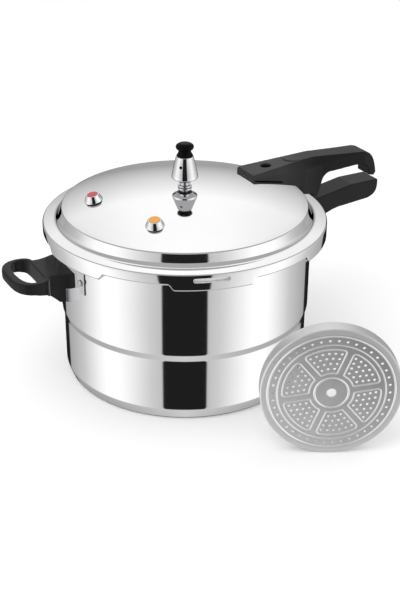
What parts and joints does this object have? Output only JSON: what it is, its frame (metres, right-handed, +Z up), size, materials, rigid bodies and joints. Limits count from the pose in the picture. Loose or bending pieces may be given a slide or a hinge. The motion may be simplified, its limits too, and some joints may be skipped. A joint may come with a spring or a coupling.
{
  "type": "pressure cooker",
  "caption": "Stove-top pressure cooker with a stepped aluminium pot, a bayonet lid, a lift-off regulator weight, safety valves, black handles and a perforated steam rack.",
  "frame": {"origin": "centre of the pot's base, on the surface it stands on", "axes": "+Z up, +X along the long handles, -X along the helper handle"},
  "size_m": [0.4195, 0.3927, 0.2403],
  "materials": {
    "polished_aluminium": "mirror polished",
    "satin_aluminium": "satin",
    "chrome": "polished",
    "steel": "fine brushed",
    "brass": "machined",
    "bakelite": "moulded, low sheen",
    "white_silicone": "matte",
    "dark_rubber": "matte",
    "red_silicone": "matte",
    "amber_silicone": "matte"
  },
  "bodies": {
    "pot": {"pot_shell": "polished_aluminium", "pot_handle_bracket": "steel", "pot_handle_screw": "steel", "pot_handle_rivet_left": "satin_aluminium", "pot_handle_rivet_right": "satin_aluminium", "pot_handle": "bakelite", "helper_handle_bracket": "steel", "helper_handle_screw": "steel", "helper_handle_rivet_left": "satin_aluminium", "helper_handle_rivet_right": "satin_aluminium", "helper_handle": "bakelite"},
    "lid": {"lid_shell": "polished_aluminium", "sealing_gasket": "white_silicone", "vent_pipe": "steel", "vent_pipe_washer": "dark_rubber", "vent_pipe_nut": "brass", "vent_filter_cap": "steel", "red_valve_bolt": "steel", "red_valve_washer": "dark_rubber", "red_valve_nut": "chrome", "yellow_valve_bolt": "steel", "yellow_valve_washer": "dark_rubber", "yellow_valve_nut": "chrome", "lid_handle_seat": "satin_aluminium", "lid_handle_screw": "steel", "lid_handle": "bakelite", "lid_handle_rivet_1": "satin_aluminium", "lid_handle_rivet_2": "satin_aluminium"},
    "regulator": {"regulator_weight": "chrome", "regulator_knob": "bakelite"},
    "red_plug": {"red_valve_plug": "red_silicone"},
    "yellow_plug": {"yellow_valve_plug": "amber_silicone"},
    "rack": {"steam_rack": "satin_aluminium"}
  },
  "joints": [
    {"name": "lid_turn", "type": "hinge", "parent": "pot", "child": "lid", "pos_m": [0, 0, 0.156], "axis": [0, 0, 1], "range_deg": [0, 30]},
    {"name": "regulator_lift", "type": "slide", "parent": "lid", "child": "regulator", "axis": [0, 0, 1], "range_m": [0, 0.03]},
    {"name": "red_plug_out", "type": "slide", "parent": "lid", "child": "red_plug", "axis": [-0.1963, 0.0392, 0.9798], "range_m": [0, 0.012]},
    {"name": "yellow_plug_out", "type": "slide", "parent": "lid", "child": "yellow_plug", "axis": [-0.1413, -0.1418, 0.9798], "range_m": [0, 0.012]},
    {"name": "rack_lift", "type": "slide", "parent": "pot", "child": "rack", "axis": [0, 0, 1], "range_m": [0, 0.15]}
  ]
}
